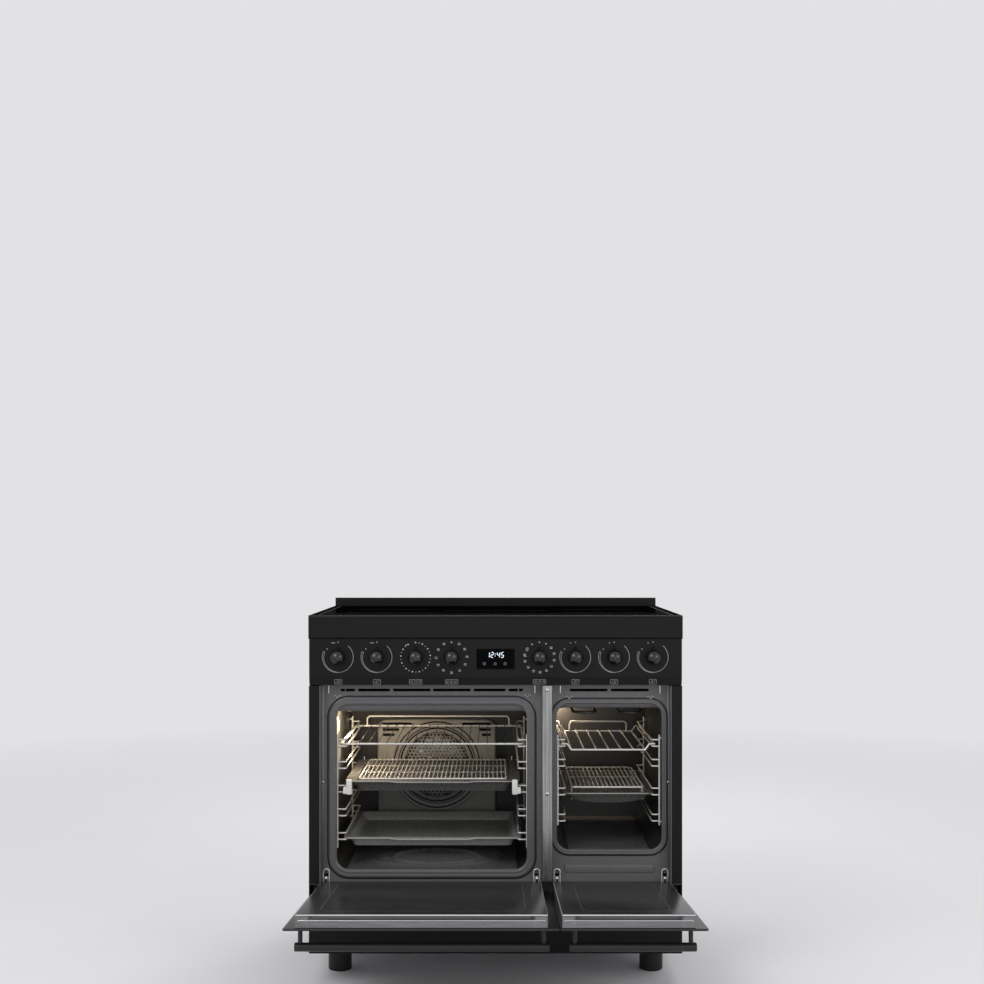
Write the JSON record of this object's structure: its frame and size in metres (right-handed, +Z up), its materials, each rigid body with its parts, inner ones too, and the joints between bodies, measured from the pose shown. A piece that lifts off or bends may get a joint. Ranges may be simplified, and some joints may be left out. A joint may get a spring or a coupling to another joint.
{
  "type": "range cooker with double oven",
  "caption": "Free-standing range cooker with a flat induction hob, a knob and clock panel, and two side-by-side ovens with drop-down doors, racks and trays.",
  "frame": {"origin": "on the floor under the feet, in the middle of the footprint with both doors open", "axes": "+X to the right as the user faces the cooker, +Y towards its back, +Z up"},
  "size_m": [0.9, 1.0316, 0.912],
  "materials": {
    "black_steel": "satin black",
    "black_glass": "polished, opaque",
    "galvanised": "dull galvanised",
    "grey_enamel": "semi-gloss enamel",
    "dark_enamel": "semi-gloss enamel",
    "stainless": "brushed",
    "chrome_wire": "bright",
    "black_plastic": "semi-gloss",
    "foot_plastic": "matt",
    "pale_plastic": "matt",
    "silicone": "matt",
    "mineral_wool": "loose fibre",
    "copper": "enamelled wire",
    "board": "lacquered board",
    "pane_glass": "tinted, reflective",
    "lamp_glass": "clear, lit",
    "printed_black": "gloss black"
  },
  "bodies": {
    "casing": {"base_frame": "galvanised", "side_panel_left": "black_steel", "side_panel_right": "black_steel", "back_cover": "galvanised", "lower_front_panel": "black_steel", "feet": "foot_plastic", "face_frame": "grey_enamel", "main_cavity": "dark_enamel", "second_cavity": "dark_enamel", "oven_seals": "silicone", "centre_column": "stainless", "insulation": "mineral_wool", "hob_frame": "black_steel", "hob_glass": "black_glass", "hob_tray": "galvanised", "induction_coils": "copper", "upstand": "black_steel", "control_panel": "black_steel", "display_window": "black_glass", "control_switches": "pale_plastic", "circuit_boards": "board", "fan_cover": "dark_enamel", "ring_element": "stainless", "fan_motor": "galvanised", "grill_element": "stainless", "oven_lamps": "lamp_glass", "main_side_racks": "chrome_wire", "second_side_racks": "chrome_wire", "guide_outer_rails": "stainless", "hinge_arms": "stainless", "blower_housing": "galvanised", "terminal_block": "pale_plastic", "cable_gland": "foot_plastic", "face_screws": "stainless"},
    "left_door": {"left_door_panel": "black_glass", "left_door_frame": "stainless", "left_door_panes": "pane_glass", "left_door_handle": "printed_black"},
    "right_door": {"right_door_panel": "black_glass", "right_door_frame": "stainless", "right_door_panes": "pane_glass", "right_door_handle": "printed_black"},
    "knob_1": {"knob_1": "black_plastic"},
    "knob_2": {"knob_2": "black_plastic"},
    "knob_3": {"knob_3": "black_plastic"},
    "knob_4": {"knob_4": "black_plastic"},
    "knob_5": {"knob_5": "black_plastic"},
    "knob_6": {"knob_6": "black_plastic"},
    "knob_7": {"knob_7": "black_plastic"},
    "knob_8": {"knob_8": "black_plastic"},
    "oven_fan": {"oven_fan": "stainless"},
    "blower_wheel": {"blower_wheel": "galvanised"},
    "guided_tray": {"guide_inner_rails": "stainless", "guided_tray": "dark_enamel", "guided_tray_grid": "chrome_wire"},
    "wire_rack": {"wire_rack": "chrome_wire"},
    "baking_tray": {"baking_tray": "dark_enamel"},
    "dropped_shelf": {"dropped_shelf": "chrome_wire"},
    "second_tray": {"second_tray": "dark_enamel", "second_tray_grid": "chrome_wire"}
  },
  "joints": [
    {"name": "left_door_hinge", "type": "hinge", "parent": "casing", "child": "left_door", "pos_m": [-0.155, -0.04415, 0.251], "axis": [-1, 0, 0], "range_deg": [0, 85]},
    {"name": "right_door_hinge", "type": "hinge", "parent": "casing", "child": "right_door", "pos_m": [0.28, -0.04415, 0.251], "axis": [-1, 0, 0], "range_deg": [0, 85]},
    {"name": "knob_1_turn", "type": "hinge", "parent": "casing", "child": "knob_1", "pos_m": [-0.378, -0.08415, 0.79], "axis": [0, 1, 0], "range_deg": [0, 345]},
    {"name": "knob_2_turn", "type": "hinge", "parent": "casing", "child": "knob_2", "pos_m": [-0.285, -0.08415, 0.79], "axis": [0, 1, 0], "range_deg": [0, 345]},
    {"name": "knob_3_turn", "type": "hinge", "parent": "casing", "child": "knob_3", "pos_m": [-0.192, -0.08415, 0.79], "axis": [0, 1, 0], "range_deg": [0, 330]},
    {"name": "knob_4_turn", "type": "hinge", "parent": "casing", "child": "knob_4", "pos_m": [-0.1055, -0.08415, 0.79], "axis": [0, 1, 0], "continuous": true},
    {"name": "knob_5_turn", "type": "hinge", "parent": "casing", "child": "knob_5", "pos_m": [0.1055, -0.08415, 0.79], "axis": [0, 1, 0], "range_deg": [0, 330]},
    {"name": "knob_6_turn", "type": "hinge", "parent": "casing", "child": "knob_6", "pos_m": [0.192, -0.08415, 0.79], "axis": [0, 1, 0], "range_deg": [0, 345]},
    {"name": "knob_7_turn", "type": "hinge", "parent": "casing", "child": "knob_7", "pos_m": [0.285, -0.08415, 0.79], "axis": [0, 1, 0], "range_deg": [0, 345]},
    {"name": "knob_8_turn", "type": "hinge", "parent": "casing", "child": "knob_8", "pos_m": [0.378, -0.08415, 0.79], "axis": [0, 1, 0], "range_deg": [0, 345]},
    {"name": "oven_fan_spin", "type": "hinge", "parent": "casing", "child": "oven_fan", "pos_m": [-0.159, 0.37785, 0.465], "axis": [0, 1, 0], "continuous": true},
    {"name": "blower_spin", "type": "hinge", "parent": "casing", "child": "blower_wheel", "pos_m": [-0.1545, 0.39585, 0.782], "axis": [1, 0, 0], "continuous": true},
    {"name": "guided_tray_slide", "type": "slide", "parent": "casing", "child": "guided_tray", "axis": [0, 1, 0], "range_m": [-0.28, 0]},
    {"name": "wire_rack_slide", "type": "slide", "parent": "casing", "child": "wire_rack", "axis": [0, 1, 0], "range_m": [-0.22, 0]},
    {"name": "baking_tray_slide", "type": "slide", "parent": "casing", "child": "baking_tray", "axis": [0, 1, 0], "range_m": [-0.24, 0]},
    {"name": "dropped_shelf_slide", "type": "slide", "parent": "casing", "child": "dropped_shelf", "axis": [0, 1, 0], "range_m": [-0.2, 0]},
    {"name": "second_tray_slide", "type": "slide", "parent": "casing", "child": "second_tray", "axis": [0, 1, 0], "range_m": [-0.22, 0]}
  ]
}
